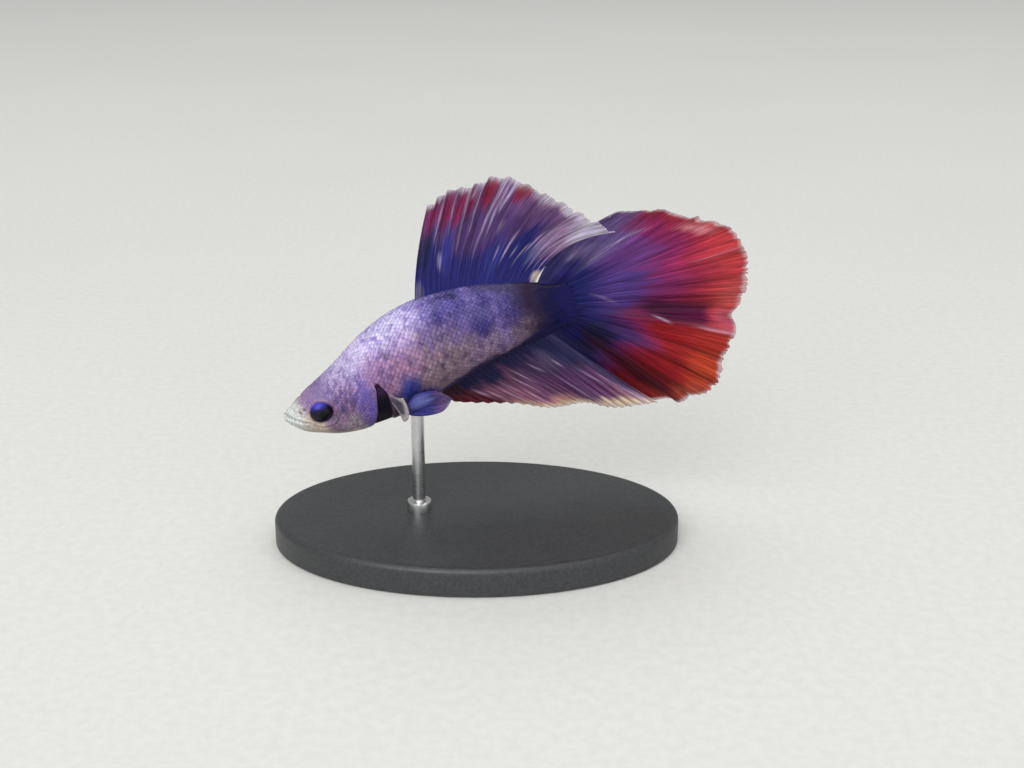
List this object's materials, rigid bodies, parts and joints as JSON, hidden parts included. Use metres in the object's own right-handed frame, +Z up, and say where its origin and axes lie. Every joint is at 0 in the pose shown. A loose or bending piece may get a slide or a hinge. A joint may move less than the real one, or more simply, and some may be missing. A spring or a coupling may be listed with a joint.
{
  "type": "life-size betta fish model on a display stand",
  "caption": "Long-finned male betta fish, life-size still model, head down and tail fin fanned, held by a rod on a flat oval stand.",
  "frame": {"origin": "middle of the underside of the stand's base, which rests on the floor", "axes": "+X from the fish's head towards its tail, -Y the side that its left flank faces, +Z up"},
  "size_m": [0.0639, 0.036, 0.0526],
  "materials": {
    "skin": "moist satin scales, lavender back and head, mauve flanks, near-black navy tail stalk",
    "dorsal_fin": "thin rayed membrane, navy root, violet streaks, red and clear white edge",
    "caudal_fin": "thin rayed membrane, navy root through violet to scarlet",
    "anal_fin": "thin rayed membrane, navy root, mauve streaks, dark red front, cream edge",
    "pelvic_fins": "thin violet-blue membrane",
    "pectoral_fins": "thin, nearly clear, pale rays",
    "eye": "wet gloss, black pupil, dark iris with a blue upper ring",
    "stand_base": "satin charcoal powder coat",
    "stand_rod": "drawn stainless rod"
  },
  "bodies": {
    "root": {"head": "skin", "lower_jaw": "skin", "gill_cover_left": "skin", "gill_cover_right": "skin", "trunk": "skin", "tail_stalk": "skin", "eye_left": "eye", "eye_right": "eye", "dorsal_fin": "dorsal_fin", "caudal_fin": "caudal_fin", "anal_fin": "anal_fin", "pelvic_fin_left": "pelvic_fins", "pelvic_fin_right": "pelvic_fins", "pectoral_fin_left": "pectoral_fins", "pectoral_fin_right": "pectoral_fins", "stand_base": "stand_base", "stand_rod": "stand_rod"}
  },
  "joints": []
}
